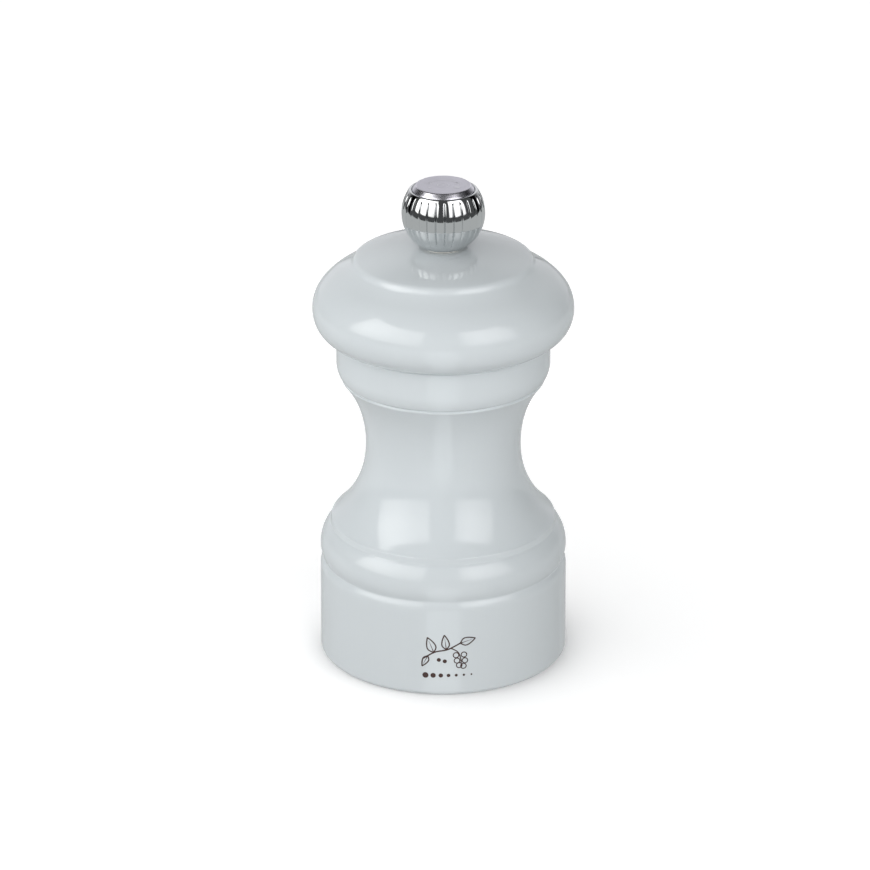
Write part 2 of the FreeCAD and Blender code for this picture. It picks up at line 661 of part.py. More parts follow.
# ---------------------------------------------------------------------------
# Compression spring between bridge and thrust washer
# ---------------------------------------------------------------------------
spring = new_body("spring")
spring_low = d.rotor_top + d.thrust_thick + d.wire_radius
spring_high = d.mech_bore_top - d.bridge_thick - d.wire_radius
sk = new_sketch(spring, "wire", "XZ_Plane")
ring(sk, d.spring_mean_radius, spring_low, d.wire_radius)
f = spring.newObject("PartDesign::AdditiveHelix", "spring_coil")
f.Profile = sk
f.ReferenceAxis = (sk, ["V_Axis"])
f.Mode = 2
rise = spring_high - spring_low
f.Height = rise.n
f.setExpression("Height", rise.t)
f.Turns = d.spring_turns.n
f.setExpression("Turns", d.spring_turns.t)
f.Reversed = False
volume(spring)

# ---------------------------------------------------------------------------
# Base ring and its three screws
# ---------------------------------------------------------------------------
base_ring = new_body("base_ring")
sk = new_sketch(base_ring, "annulus", "XY_Plane", dz=d.base_ring_bottom)
ring(sk, 0, 0, d.base_ring_outer)
ring(sk, 0, 0, d.base_ring_inner)
pad(base_ring, "disc", sk, d.base_ring_thick)
sk = new_sketch(base_ring, "hole", "XY_Plane", dz=d.base_ring_bottom)
ring(sk, d.pilot_circle_radius, 0, d.base_ring_hole)
hole = pocket(base_ring, "screw_hole", sk, d.base_ring_thick, up=True)
polar(base_ring, "screw_holes", [hole], d.screw_count)
sk = new_sketch(base_ring, "slots", "XY_Plane", dz=d.base_ring_bottom)
w, g = d.lug_half + d.lug_gap, d.lug_outer + d.lug_gap
rectangle(sk, -w, d.base_ring_inner - 1.5, w, g)
rectangle(sk, -w, -g, w, -d.base_ring_inner + 1.5)
pocket(base_ring, "lug_slots", sk, d.base_ring_thick, up=True)

base_ring_screws = screw(
    "base_ring_screws", d.pilot_circle_radius, d.base_ring_bottom - d.screw_seat_gap, d.screw_shank, d.screw_length,
    d.screw_tip, d.screw_head_radius, d.screw_head_height, d.screw_head_round,
    d.cross_half_width, d.cross_half_length, d.cross_depth, d.screw_count)

# ---------------------------------------------------------------------------
# Knob: grooved shell, threaded insert, top disc, and the washer under it
# ---------------------------------------------------------------------------
washer("knob_washer", d.washer_inner, d.washer_outer, d.dome_height, d.washer_thick)

knob = new_body("knob_shell")
turned(knob, "turning", [
    (d.insert_radius, d.knob_bottom),
    (d.knob_foot_radius, d.knob_bottom, d.knob_foot_round, +1),
    (d.knob_foot_radius + 0.33, d.knob_bottom + 0.24, d.knob_low_round, +1),
    (d.knob_radius, d.knob_belly_height, d.knob_side_round, +1),
    (d.knob_side_radius, d.knob_side_height, d.knob_top_round, +1),
    (d.knob_lip_radius, d.knob_lip_height, d.knob_lip_round, +1),
    (d.knob_lip_inner + 0.12, d.knob_lip_top),
    (d.knob_lip_inner, d.knob_lip_top - 0.12),
    (d.knob_lip_inner, d.medal_seat),
    (d.medal_pin_radius, d.medal_seat),
    (d.medal_pin_radius, d.medal_seat - d.medal_pin_depth),
    (0, d.medal_seat - d.medal_pin_depth),
    (0, d.knob_bore_top),
    (d.insert_radius, d.knob_bore_top),
])
sk = new_sketch(knob, "groove", "XZ_Plane")
g = d.groove_depth
outline(sk, [
    (5.72, 88.3, d.knob_low_round - g, +1),
    (d.knob_radius - g, d.knob_belly_height, d.knob_side_round - g, +1),
    (d.knob_side_radius - g, d.knob_side_height, d.knob_top_round - g, +1),
    (7.12, 98.15),
    (8.9, 98.9),
    (9.4, 94.0),
    (7.4, 87.4),
])
cut = pocket(knob, "groove", sk, d.groove_half_width * 2, both=True)
polar(knob, "grooves", [cut], d.groove_count)

insert = new_body("knob_thread_insert")
turned(insert, "bush", [
    (d.insert_bore + d.insert_chamfer, d.insert_bottom),
    (d.insert_radius, d.insert_bottom),
    (d.insert_radius, d.insert_top),
    (d.insert_bore, d.insert_top),
    (d.insert_bore, d.insert_bottom + d.insert_chamfer),
])

medallion = new_body("knob_medallion")
turned(medallion, "disc", [
    (0, d.medal_seat - d.medal_pin_depth),
    (d.medal_pin_radius, d.medal_seat - d.medal_pin_depth),
    (d.medal_pin_radius, d.medal_seat),
    (d.medal_radius, d.medal_seat),
    (d.medal_radius, d.medal_edge_height),
    (d.medal_flat_radius, d.medal_top),
    (0, d.medal_top),
])

# ---------------------------------------------------------------------------
# Check every object, then write the pieces
# ---------------------------------------------------------------------------
doc.recompute()
for obj in doc.Objects:
    if "Invalid" in obj.State or "Error" in obj.State:
        raise RuntimeError("failed object: %s %s" % (obj.Label, obj.State))
for body in NODES:
    shape = body.Shape
    if shape.isNull() or not shape.isValid() or not shape.Solids:
        raise RuntimeError("bad shape: %s" % body.Label)
for body in NODES:
    body.Placement = FreeCAD.Placement()
    body.Shape.exportStep("parts/%s.step" % body.Label)
    box = body.Shape.optimalBoundingBox(True, False)
    print("%-22s solids %d volume %9.2f  x %.2f..%.2f  z %.2f..%.2f" % (
        body.Label, len(body.Shape.Solids), body.Shape.Volume, box.XMin, box.XMax, box.ZMin, box.ZMax))
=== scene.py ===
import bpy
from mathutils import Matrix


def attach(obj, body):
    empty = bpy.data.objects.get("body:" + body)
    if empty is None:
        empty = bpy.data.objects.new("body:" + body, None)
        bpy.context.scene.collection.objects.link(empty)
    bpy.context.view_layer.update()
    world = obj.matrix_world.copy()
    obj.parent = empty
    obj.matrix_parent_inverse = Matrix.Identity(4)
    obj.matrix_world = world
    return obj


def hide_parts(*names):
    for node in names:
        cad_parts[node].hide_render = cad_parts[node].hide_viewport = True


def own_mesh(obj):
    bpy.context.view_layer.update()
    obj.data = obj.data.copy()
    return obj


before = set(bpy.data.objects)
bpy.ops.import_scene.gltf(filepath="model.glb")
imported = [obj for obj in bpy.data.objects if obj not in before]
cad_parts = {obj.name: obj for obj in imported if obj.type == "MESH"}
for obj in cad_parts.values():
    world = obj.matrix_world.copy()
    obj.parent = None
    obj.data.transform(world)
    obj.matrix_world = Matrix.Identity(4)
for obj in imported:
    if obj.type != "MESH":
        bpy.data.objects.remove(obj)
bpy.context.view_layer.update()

import math

import bpy
import numpy as np
from mathutils import Matrix, Vector

MM = 0.001
SC = bpy.context.scene
COL = SC.collection
rng = np.random.default_rng(7)


# ---------------------------------------------------------------------------
# helpers
# ---------------------------------------------------------------------------
def arc_points(p, q, radius, side, step=0.06):
    """Points on the arc from p to q; side +1 turns left."""
    a, b = np.array(p, float), np.array(q, float)
    c = b - a
    half = np.hypot(*c) / 2
    rise = math.sqrt(max(radius * radius - half * half, 0.0))
    left = np.array([-c[1], c[0]]) / (2 * half)
    centre = (a + b) / 2 + left * rise * side
    t0 = math.atan2(a[1] - centre[1], a[0] - centre[0])
    t1 = math.atan2(b[1] - centre[1], b[0] - centre[0])
    if side > 0:
        while t1 < t0:
            t1 += 2 * math.pi
    else:
        while t1 > t0:
            t1 -= 2 * math.pi
    n = max(3, int(abs(t1 - t0) * radius / step) + 1)
    t = np.linspace(t0, t1, n)
    return np.c_[centre[0] + radius * np.cos(t), centre[1] + radius * np.sin(t)]


def path_points(steps):
    """A profile in mm from (r, z) or (r, z, radius, side) steps."""
    out = []
    for i in range(len(steps) - 1):
        p, q = steps[i], steps[i + 1]
        if len(p) == 4:
            out.append(arc_points(p[:2], q[:2], p[2], p[3]))
        else:
            n = max(2, int(math.hypot(q[0] - p[0], q[1] - p[1]) / 0.06) + 1)
            out.append(np.linspace(np.array(p[:2], float), np.array(q[:2], float), n))
    pts = np.vstack(out)
    keep = np.r_[True, np.hypot(*np.diff(pts, axis=0).T) > 1e-7]
    return pts[keep]


def resample(pts, step):
    s = np.r_[0, np.cumsum(np.hypot(*np.diff(pts, axis=0).T))]
    n = max(2, int(round(s[-1] / step)) + 1)
    t = np.linspace(0, s[-1], n)
    return np.c_[np.interp(t, s, pts[:, 0]), np.interp(t, s, pts[:, 1])]


def soften(pts, sigma, step=0.05):
    """Rounds every corner of an open profile as a coat of lacquer does. The ends stay."""
    p = resample(pts, step)
    k = int(4 * sigma / step)
    if k < 1:
        return p
    x = np.arange(-k, k + 1) * step
    w = np.exp(-0.5 * (x / sigma) ** 2)
    w /= w.sum()
    head = 2 * p[0] - p[1:k + 1][::-1]
    tail = 2 * p[-1] - p[-k - 1:-1][::-1]
    q = np.vstack([head, p, tail])
    out = np.c_[np.convolve(q[:, 0], w, "valid"), np.convolve(q[:, 1], w, "valid")]
    out[0], out[-1] = p[0], p[-1]
    return out


def thin(pts, tol, longest=1.2):
    """Drops points that a straight edge reaches within tol, keeping edges short enough."""
    keep = [0]
    i, n = 0, len(pts)
    while i < n - 1:
        j = i + 1
        while j + 1 < n:
            a, b = pts[i], pts[j + 1]
            ab = b - a
            length = np.hypot(*ab)
            if length > longest:
                break
            mid = pts[i + 1:j + 1] - a
            off = np.abs(mid[:, 0] * ab[1] - mid[:, 1] * ab[0]) / max(length, 1e-9)
            if off.max() > tol:
                break
            j += 1
        keep.append(j)
        i = j
    return pts[keep]


def new_object(name, verts, faces, body, mats, face_mats=None, sharp=38.0):
    me = bpy.data.meshes.new(name)
    me.from_pydata([tuple(v) for v in verts], [], faces)
    me.validate()
    for m in mats:
        me.materials.append(m)
    if face_mats is not None:
        me.polygons.foreach_set("material_index", np.array(face_mats, np.int32))
    me.polygons.foreach_set("use_smooth", np.ones(len(me.polygons), bool))
    me.update()
    if sharp:
        me.set_sharp_from_angle(angle=math.radians(sharp))
    ob = bpy.data.objects.new(name, me)
    COL.objects.link(ob)
    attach(ob, body)
    return ob


def lathe(profile, segments):
    """Verts (m) and quads of a closed (r, z) loop in mm turned about Z. A loop
    that starts and ends on the axis is closed there by fans."""
    p = np.array(profile, float)
    open_axis = p[0, 0] < 1e-9 and p[-1, 0] < 1e-9
    ang = np.linspace(0, 2 * math.pi, segments, endpoint=False) - math.pi / 2
    verts, ring_of = [], []
    for r, z in p:
        if r < 1e-9:
            ring_of.append([len(verts)])
            verts.append((0, 0, z * MM))
        else:
            ring_of.append(list(range(len(verts), len(verts) + segments)))
            verts += [(r * math.cos(a) * MM, r * math.sin(a) * MM, z * MM) for a in ang]
    faces, index = [], []
    count = len(p) - 1 if open_axis else len(p)
    for i in range(count):
        a, b = ring_of[i], ring_of[(i + 1) % len(p)]
        if len(a) == 1 and len(b) == 1:
            continue
        for k in range(segments):
            k2 = (k + 1) % segments
            if len(a) == 1:
                faces.append((a[0], b[k2], b[k]))
            elif len(b) == 1:
                faces.append((a[k], a[k2], b[0]))
            else:
                faces.append((a[k], a[k2], b[k2], b[k]))
            index.append(i)
    return verts, faces, index


def turned(name, profile, body, mats, segments=256, mat_of=None, sharp=38.0):
    """profile runs up the outside, so its faces point outwards."""
    verts, faces, index = lathe(profile, segments)
    face_mats = [mat_of(profile[i], profile[(i + 1) % len(profile)]) for i in index] if mat_of else None
    return new_object(name, verts, faces, body, mats, face_mats, sharp)


# ---------------------------------------------------------------------------
# materials
# ---------------------------------------------------------------------------
class Mat:
    """A small node-tree builder round one Principled shader."""

    def __init__(self, name, **values):
        self.m = bpy.data.materials.new(name)
        self.m.use_nodes = True
        self.t = self.m.node_tree
        self.t.nodes.clear()
        self.out = self.t.nodes.new("ShaderNodeOutputMaterial")
        self.b = self.t.nodes.new("ShaderNodeBsdfPrincipled")
        self.link(self.b.outputs[0], self.out.inputs[0])
        for k, v in values.items():
            self.b.inputs[k.replace("_", " ")].default_value = v
        self.coord = self.t.nodes.new("ShaderNodeTexCoord")
        self.x = self.coord.outputs["Object"]

    def link(self, a, b):
        self.t.links.new(a, b)

    def node(self, kind, **inputs):
        n = self.t.nodes.new(kind)
        for k, v in inputs.items():
            self.put(n, k.replace("_", " "), v)
        return n

    def put(self, n, key, v):
        sock = n.inputs[key]
        if isinstance(v, bpy.types.NodeSocket):
            self.link(v, sock)
        else:
            sock.default_value = v

    def mapping(self, scale, source=None):
        n = self.t.nodes.new("ShaderNodeMapping")
        n.inputs["Scale"].default_value = scale
        self.link(source or self.x, n.inputs["Vector"])
        return n.outputs["Vector"]

    def noise(self, scale, detail=3.0, rough=0.5, vector=None, distortion=0.0):
        n = self.t.nodes.new("ShaderNodeTexNoise")
        n.inputs["Scale"].default_value = scale
        n.inputs["Detail"].default_value = detail
        n.inputs["Roughness"].default_value = rough
        n.inputs["Distortion"].default_value = distortion
        self.link(vector or self.x, n.inputs["Vector"])
        return n.outputs["Fac"]

    def ramp(self, fac, stops):
        n = self.t.nodes.new("ShaderNodeValToRGB")
        self.link(fac, n.inputs["Fac"])
        e = n.color_ramp.elements
        while len(e) < len(stops):
            e.new(0.5)
        for el, (pos, colour) in zip(e, stops):
            el.position = pos
            el.color = (*colour, 1.0) if len(colour) == 3 else colour
        return n.outputs["Color"]

    def range(self, fac, lo, hi, f0=0.0, f1=1.0):
        n = self.t.nodes.new("ShaderNodeMapRange")
        self.link(fac, n.inputs["Value"])
        n.inputs["From Min"].default_value = f0
        n.inputs["From Max"].default_value = f1
        n.inputs["To Min"].default_value = lo
        n.inputs["To Max"].default_value = hi
        return n.outputs["Result"]

    def math(self, op, a, b=0.0):
        n = self.t.nodes.new("ShaderNodeMath")
        n.operation = op
        for i, v in enumerate((a, b)):
            if isinstance(v, bpy.types.NodeSocket):
                self.link(v, n.inputs[i])
            else:
                n.inputs[i].default_value = v
        return n.outputs[0]

    def mix(self, fac, a, b):
        n = self.t.nodes.new("ShaderNodeMix")
        n.data_type = "RGBA"
        for i, v in ((0, fac), (6, a), (7, b)):
            if isinstance(v, bpy.types.NodeSocket):
                self.link(v, n.inputs[i])
            else:
                n.inputs[i].default_value = (*v, 1.0) if i else v
        return n.outputs[2]

    def bump(self, height, distance, strength=1.0, chain=None):
        n = self.t.nodes.new("ShaderNodeBump")
        n.inputs["Strength"].default_value = strength
        n.inputs["Distance"].default_value = distance
        self.link(height, n.inputs["Height"])
        if chain is not None:
            self.link(chain, n.inputs["Normal"])
        return n.outputs["Normal"]

    def set(self, key, v):
        self.put(self.b, key, v)
        return self


def angle_coord(m, repeats=1.0):
    """Vector (angle, radius, height) for turned and brushed marks."""
    sep = m.node("ShaderNodeSeparateXYZ", Vector=m.x)
    ang = m.math("ARCTAN2", sep.outputs["Y"], sep.outputs["X"])
    r2 = m.math("ADD", m.math("MULTIPLY", sep.outputs["X"], sep.outputs["X"]),
                m.math("MULTIPLY", sep.outputs["Y"], sep.outputs["Y"]))
    rad = m.math("SQRT", r2)
    comb = m.t.nodes.new("ShaderNodeCombineXYZ")
    m.link(m.math("MULTIPLY", ang, repeats), comb.inputs[0])
    m.link(rad, comb.inputs[1])
    m.link(sep.outputs["Z"], comb.inputs[2])
    return comb.outputs[0], rad, sep.outputs["Z"]


def lacquer():
    m = Mat("lacquer_pale_grey", Roughness=0.42, IOR=1.5, Coat_Weight=1.0, Coat_Roughness=0.02, Coat_IOR=1.55, Specular_IOR_Level=0.0)
    tone = m.noise(34.0, 3.0, 0.55)
    grain = m.noise(60.0, 4.0, 0.6, m.mapping((26.0, 26.0, 1.6)))
    base = m.ramp(tone, [(0.30, (0.600, 0.642, 0.662)), (0.70, (0.616, 0.658, 0.676))])
    m.set("Base Color", m.mix(m.range(grain, 0.0, 0.10, 0.45, 0.75), base, (0.568, 0.61, 0.63)))
    m.set("Roughness", m.range(tone, 0.38, 0.46))
    peel = m.bump(m.noise(420.0, 2.0, 0.5), 0.00001, 0.22)
    m.set("Normal", m.bump(grain, 0.00002, 0.10, peel))
    m.link(m.bump(m.noise(200.0, 2.0, 0.5), 0.000008, 0.06), m.b.inputs["Coat Normal"])
    return m.m


def raw_wood():
    m = Mat("raw_beech", Roughness=0.62, IOR=1.45)
    long = m.mapping((38.0, 38.0, 3.2))
    grain = m.noise(30.0, 6.0, 0.62, long, 0.3)
    fleck = m.noise(200.0, 2.0, 0.6, m.mapping((5.0, 5.0, 1.2)))
    base = m.ramp(grain, [(0.25, (0.43, 0.255, 0.135)), (0.5, (0.60, 0.40, 0.235)), (0.78, (0.70, 0.50, 0.32))])
    m.set("Base Color", m.mix(m.range(fleck, 0.0, 0.45, 0.56, 0.72), base, (0.34, 0.19, 0.10)))
    m.set("Roughness", m.range(grain, 0.50, 0.72))
    m.set("Normal", m.bump(grain, 0.00008, 0.5))
    return m.m


def metal(name, colour, rough, turned_marks=0.0, noise_scale=900.0, spread=0.05, tint=0.05, dent=0.0):
    m = Mat(name, Metallic=1.0, Roughness=rough, IOR=1.5)
    v, rad, z = angle_coord(m, 0.004)
    tone = m.noise(120.0, 4.0, 0.6)
    dark = tuple(c * (1 - tint * 2) for c in colour)
    light = tuple(min(1.0, c * (1 + tint)) for c in colour)
    m.set("Base Color", m.ramp(tone, [(0.3, dark), (0.7, light)]))
    marks = m.noise(noise_scale, 3.0, 0.6, m.mapping((0.35, 9.0, 9.0), v)) if turned_marks else m.noise(noise_scale, 3.0, 0.6)
    m.set("Roughness", m.range(marks, max(0.02, rough - spread), rough + spread, 0.3, 0.7))
    normal = m.bump(marks, 0.00001, max(turned_marks, 0.08))
    if dent:
        normal = m.bump(m.noise(320.0, 3.0, 0.6), 0.00004, dent, normal)
    m.set("Normal", normal)
    return m.m


def plastic(name, colour, rough, grain=0.25):
    m = Mat(name, Roughness=rough, IOR=1.46)
    tone = m.noise(180.0, 3.0, 0.5)
    m.set("Base Color", m.ramp(tone, [(0.3, tuple(c * 0.92 for c in colour)), (0.7, colour)]))
    m.set("Roughness", m.range(tone, rough - 0.06, rough + 0.06))
    m.set("Normal", m.bump(m.noise(1400.0, 2.0, 0.5), 0.00002, grain))
    return m.m


LACQUER = lacquer()
WOOD = raw_wood()
CHROME = metal("chrome_knob", (0.75, 0.765, 0.77), 0.055, 0.0, 500.0, 0.015, 0.01)
SATIN = metal("satin_disc", (0.66, 0.65, 0.71), 0.34, 0.9, 500.0, 0.06, 0.03)
BEVEL = metal("polished_bevel", (0.84, 0.83, 0.90), 0.26, 0.5, 600.0, 0.04, 0.01)
ENGRAVE = metal("engraved_line", (0.86, 0.86, 0.90), 0.42, 0.0, 900.0, 0.05, 0.02)
STEEL_DARK = metal("case_hardened_steel", (0.25, 0.245, 0.25), 0.36, 0.7, 320.0, 0.10, 0.10, 0.35)
STEEL_SHEET = metal("stamped_stainless", (0.60, 0.59, 0.575), 0.30, 0.0, 700.0, 0.08, 0.05, 0.15)
STEEL_TURNED = metal("turned_steel", (0.60, 0.595, 0.58), 0.28, 0.9, 420.0, 0.08, 0.05)
ZINC = metal("zinc_plate", (0.62, 0.63, 0.62), 0.26, 0.0, 800.0, 0.08, 0.08, 0.12)
ALU = metal("drawn_aluminium", (0.76, 0.77, 0.78), 0.32, 0.0, 900.0, 0.07, 0.04, 0.10)
SPRING = metal("spring_wire", (0.42, 0.42, 0.43), 0.26, 0.0, 900.0, 0.07, 0.06, 0.05)
BRASS = metal("turned_brass", (0.78, 0.57, 0.27), 0.24, 0.9, 420.0, 0.07, 0.05)
NYLON = plastic("natural_nylon", (0.80, 0.78, 0.72), 0.45)
BLACK = plastic("black_plastic", (0.035, 0.035, 0.036), 0.48)
PRINT = plastic("print_dark_brown", (0.055, 0.030, 0.026), 0.40, 0.1)

# ---------------------------------------------------------------------------
# turned wooden body
# ---------------------------------------------------------------------------
BODY_OUTSIDE = [
    (20.5, 0.0), (24.15, 0.0, 1.0, +1), (25.15, 1.0), (25.05, 18.35, 2.8, +1), (24.52, 20.0), (24.4, 20.28),
    (24.4, 20.5, 4.9, +1), (25.0, 22.9, 6.9, +1), (23.54, 27.2, 2.4, +1), (22.95, 27.82),
    (22.78, 28.85, 0.4, +1), (22.48, 29.22), (22.1, 29.62, 20.2, -1),
    (15.85, 41.89, 25.25, -1), (16.56, 51.70, 21.3, -1), (20.31, 59.15, 0.4, +1),
    (20.46, 59.6), (20.2, 59.85), (20.8, 60.15, 5.6, +1), (21.46, 62.9), (21.46, 67.8, 0.4, +1),
    (21.06, 68.2), (15.0, 68.2),
]
outside = thin(soften(path_points(BODY_OUTSIDE), 0.08), 0.0025, 1.0)
inside = thin(soften(path_points([
    (15.0, 68.2), (15.0, 56.8), (11.0, 56.8), (11.0, 26.0), (15.0, 26.0), (15.0, 3.2), (20.5, 3.2), (20.5, 0.0),
]), 0.05), 0.003, 3.0)
body_loop = np.vstack([outside, inside[1:-1]])
n_out = len(outside)
tags = {tuple(np.round(p, 6)): i for i, p in enumerate(body_loop)}


def painted_part(limit):
    def pick(a, b):
        i = tags[tuple(np.round(a, 6))]
        return 0 if i < limit else 1
    return pick


mill_body = turned("mill_body_turned", body_loop, "base", [LACQUER, WOOD], 288, painted_part(n_out - 1))
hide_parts("mill_body")

# ---------------------------------------------------------------------------
# turned wooden head
# ---------------------------------------------------------------------------
HEAD_OUTSIDE = [
    (13.65, 68.5), (21.75, 68.5, 5.21, +1), (25.83, 72.07, 6.98, +1), (24.51, 78.67, 13.66, +1),
    (21.46, 81.36, 25.9, -1), (18.75, 83.25, 2.2, -1), (17.95, 84.25, 1.5, +1), (17.1, 84.92, 44.0, +1),
    (5.3, 87.05), (3.0, 87.05),
]
head_out = thin(soften(path_points(HEAD_OUTSIDE), 0.08), 0.0025, 1.0)
head_in = thin(soften(path_points([
    (3.0, 87.05), (3.0, 80.0), (4.5, 80.0), (4.5, 59.5), (13.15, 59.5), (13.65, 60.0), (13.65, 68.5),
]), 0.05), 0.003, 3.0)
head_loop = np.vstack([head_out, head_in[1:-1]])
h_out = len(head_out)
tags = {tuple(np.round(p, 6)): i for i, p in enumerate(head_loop)}
head = turned("head_turned", head_loop, "turning_head", [LACQUER, WOOD], 288, painted_part(h_out - 1))
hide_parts("head")

# ---------------------------------------------------------------------------
# knob: chromed shell with 28 narrow grooves
# ---------------------------------------------------------------------------
RIBS = 28
GROOVE_AT = math.radians(-90.0 + 2.1)
KNOB_OUTSIDE = [
    (3.4, 87.5), (4.75, 87.5, 0.35, +1), (5.08, 87.74, 7.86, +1), (8.3, 94.1, 8.77, +1),
    (6.82, 98.98, 0.34, +1), (6.42, 99.08), (6.3, 98.96), (6.3, 98.2),
]
knob_line = thin(soften(path_points(KNOB_OUTSIDE), 0.06), 0.0012, 0.22)
per_rib = 22
cols = RIBS * per_rib
t = (np.arange(cols) / per_rib) % 1.0
t = np.where(t > 0.5, 1.0 - t, t)                       # 0 in a groove, 0.5 on a rib's crown
half_width = 0.135
valley = np.where(t < half_width, np.clip(np.cos(np.pi / 2 * t / half_width), 0, 1) ** 1.6, 0.0)
crown = ((0.5 - t) / 0.5) ** 2
lip = np.exp(-((t - half_width * 1.25) / 0.035) ** 2)
verts, faces, face_mats = [], [], []
ang = GROOVE_AT + 2 * math.pi * np.arange(cols) / cols
for r, z in knob_line:
    low = np.clip((z - 87.95) / 1.5, 0, 1)
    high = np.clip((98.72 - z) / 0.75, 0, 1)
    outer = 1.0 if r > 6.36 or z < 95 else 0.0
    fade = outer * (low * low * (3 - 2 * low)) * (high * high * (3 - 2 * high))
    cut = fade * (0.25 * valley + 0.045 * crown) * min(1.0, r / 8.0)
    rr = r - cut
    for k in range(cols):
        verts.append((rr[k] * math.cos(ang[k]) * MM, rr[k] * math.sin(ang[k]) * MM, z * MM))
n_rows = len(knob_line)
for i in range(n_rows - 1):
    for k in range(cols):
        k2 = (k + 1) % cols
        faces.append((i * cols + k, i * cols + k2, (i + 1) * cols + k2, (i + 1) * cols + k))
# seat under the medallion and the bore for the thread insert
base = len(verts)
for r, z in ((3.4, 98.2), (3.4, 96.0)):
    for k in range(cols):
        verts.append((r * math.cos(ang[k]) * MM, r * math.sin(ang[k]) * MM, z * MM))
rows = [(n_rows - 1) * cols, base, base + cols, 0]
for a, b in zip(rows[:-1], rows[1:]):
    for k in range(cols):
        k2 = (k + 1) % cols
        faces.append((a + k, a + k2, b + k2, b + k))
knob_shell = new_object("knob_ribbed_shell", verts, faces, "knob", [CHROME], sharp=60.0)
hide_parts("knob_shell")

# ---------------------------------------------------------------------------
# knob: disc let into the top, with a plain turning mark
# ---------------------------------------------------------------------------
disc_line = soften(path_points([
    (5.95, 98.25), (6.15, 98.4), (6.15, 99.0), (6.1, 99.16), (5.46, 99.94), (5.30, 100.0), (4.4, 100.0),
]), 0.05, 0.02)
disc_line = thin(disc_line, 0.0012, 0.3)
disc_loop = np.vstack([[(0.0, 98.25), (3.0, 98.25)], disc_line, [(3.0, 100.0), (1.5, 100.0), (0.0, 100.0)]])


def disc_face(a, b):
    z, r = (a[1] + b[1]) / 2, (a[0] + b[0]) / 2
    return 0 if z > 99.985 and r < 5.42 else 1


medallion = turned("knob_disc", disc_loop, "knob", [SATIN, BEVEL], 160, disc_face, sharp=50.0)
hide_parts("knob_medallion")


def stroke(points, width, place, closed=False, taper=False):
    """A flat ribbon along points (u, v in mm), laid on the surface by place()."""
    p = np.array(points, float)
    if closed:
        p = np.vstack([p, p[:1]])
    s = np.r_[0, np.cumsum(np.hypot(*np.diff(p, axis=0).T))]
    n = max(3, int(s[-1] / 0.12) + 1)
    q = np.linspace(0, s[-1], n)
    line = np.c_[np.interp(q, s, p[:, 0]), np.interp(q, s, p[:, 1])]
    if closed:
        line = line[:-1]
        tan = np.roll(line, -1, 0) - np.roll(line, 1, 0)
    else:
        tan = np.gradient(line, axis=0)
    tan /= np.maximum(np.hypot(*tan.T), 1e-9)[:, None]
    nor = np.c_[-tan[:, 1], tan[:, 0]]
    w = np.full(len(line), width / 2)
    if taper:
        w = w * np.clip(1.15 - np.linspace(0, 1, len(line)), 0.35, 1.0)
    left, right = line + nor * w[:, None], line - nor * w[:, None]
    vs = [place(*pt) for pt in left] + [place(*pt) for pt in right]
    m = len(line)
    fs = [(i, m + i, m + (i + 1) % m, (i + 1) % m) for i in range(m if closed else m - 1)]
    return vs, fs


def spot(centre, radius, place, n=24):
    """A filled round dot."""
    vs = [place(*centre)]
    for k in (0.5, 1.0):
        for i in range(n):
            a = 2 * math.pi * i / n
            vs.append(place(centre[0] + k * radius * math.cos(a), centre[1] + k * radius * math.sin(a)))
    fs = [(0, 1 + i, 1 + (i + 1) % n) for i in range(n)]
    fs += [(1 + i, 1 + n + i, 1 + n + (i + 1) % n, 1 + (i + 1) % n) for i in range(n)]
    return vs, fs


def gather(parts):
    vs, fs = [], []
    for v, f in parts:
        o = len(vs)
        vs += v
        fs += [tuple(i + o for i in face) for face in f]
    return vs, fs


def on_disc(u, v):
    return (u * MM, v * MM, 100.012 * MM)


def arc_line(cx, cy, r, a0, a1, n=40):
    t = np.radians(np.linspace(a0, a1, n))
    return np.c_[cx + r * np.cos(t), cy + r * np.sin(t)]


# turning mark: an arc with a head at each end, a small dot at one and a large one at the other
mark = [stroke(arc_line(0, -0.4, 3.1, 25, 155), 0.17, on_disc)]
for a, side in ((25, -1), (155, 1)):
    tip = arc_line(0, -0.4, 3.1, a + side * -7, a + side * -7, 1)[0]
    for dr in (-0.62, 0.62):
        back = arc_line(0, -0.4, 3.1 + dr, a + side * 10, a + side * 10, 1)[0]
        mark.append(stroke([tip, back], 0.17, on_disc))
mark.append(spot((-2.7, -1.6), 0.28, on_disc))
mark.append(spot((2.7, -1.6), 0.55, on_disc))
mark.append(stroke(arc_line(0, -0.3, 1.15, 0, 360), 0.15, on_disc))
mark.append(spot((0, -0.3), 0.22, on_disc))
vs, fs = gather(mark)
turning_mark = new_object("knob_turning_mark", vs, fs, "knob", [ENGRAVE], sharp=None)

# ---------------------------------------------------------------------------
# printed sprig on the front of the foot
# ---------------------------------------------------------------------------
def on_base(u, v):
    r = 25.15 - (v - 1.0) * 0.10 / 17.35 + 0.016
    a = u / r - math.pi / 2
    return (r * math.cos(a) * MM, r * math.sin(a) * MM, v * MM)


def curve_line(points, n=60):
    """Catmull-Rom line through the points."""
    p = np.array(points, float)
    p = np.vstack([2 * p[0] - p[1], p, 2 * p[-1] - p[-2]])
    out = []
    for i in range(1, len(p) - 2):
        for t in np.linspace(0, 1, max(4, n // (len(p) - 3)), endpoint=False):
            out.append(0.5 * ((2 * p[i]) + (-p[i - 1] + p[i + 1]) * t
                              + (2 * p[i - 1] - 5 * p[i] + 4 * p[i + 1] - p[i + 2]) * t * t
                              + (-p[i - 1] + 3 * p[i] - 3 * p[i + 1] + p[i + 2]) * t ** 3))
    out.append(p[-2])
    return np.array(out)


